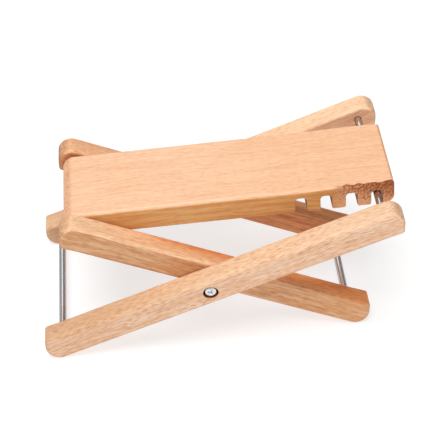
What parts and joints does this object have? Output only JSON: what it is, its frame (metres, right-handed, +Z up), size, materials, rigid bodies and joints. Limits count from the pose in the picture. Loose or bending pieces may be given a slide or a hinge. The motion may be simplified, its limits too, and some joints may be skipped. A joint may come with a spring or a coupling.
{
  "type": "folding foot rest",
  "caption": "Low folding foot rest: four crossed wooden legs, steel cross rods and a hinged wooden board whose underside notches drop over a rod to set its slope.",
  "frame": {"origin": "on the floor, under the middle of the bounding box", "axes": "+X along the board from its hinge to its notched end, +Z up, +Y across the frame"},
  "size_m": [0.2451, 0.138, 0.1153],
  "materials": {
    "leg_beech": "satin lacquered beech",
    "board_beech": "satin lacquered beech",
    "polished_steel": "polished",
    "bright_zinc": "bright zinc plate",
    "washer_steel": "dark phosphated steel",
    "insert_brass": "plain"
  },
  "bodies": {
    "inner_frame": {"inner_leg_near": "leg_beech", "inner_leg_far": "leg_beech", "inner_foot_rod": "polished_steel", "hinge_rod": "polished_steel", "pivot_screw_near": "bright_zinc", "pivot_screw_far": "bright_zinc", "head_washer_near": "washer_steel", "head_washer_far": "washer_steel", "spacer_washer_near": "washer_steel", "spacer_washer_far": "washer_steel", "threaded_insert_near": "insert_brass", "threaded_insert_far": "insert_brass"},
    "outer_frame": {"outer_leg_near": "leg_beech", "outer_leg_far": "leg_beech", "outer_foot_rod": "polished_steel", "latch_rod": "polished_steel"},
    "board": {"foot_board": "board_beech"}
  },
  "joints": [
    {"name": "leg_fold", "type": "hinge", "parent": "inner_frame", "child": "outer_frame", "pos_m": [-0.00735, 0, 0.05454], "axis": [0, 1, 0], "range_deg": [0, 45.8]},
    {"name": "board_lift", "type": "hinge", "parent": "inner_frame", "child": "board", "pos_m": [-0.0932, 0, 0.09081], "axis": [0, -1, 0], "range_deg": [0, 45.8]}
  ],
  "couplings": [
    {"joint": "board_lift", "follows": "leg_fold", "ratio": 1}
  ]
}
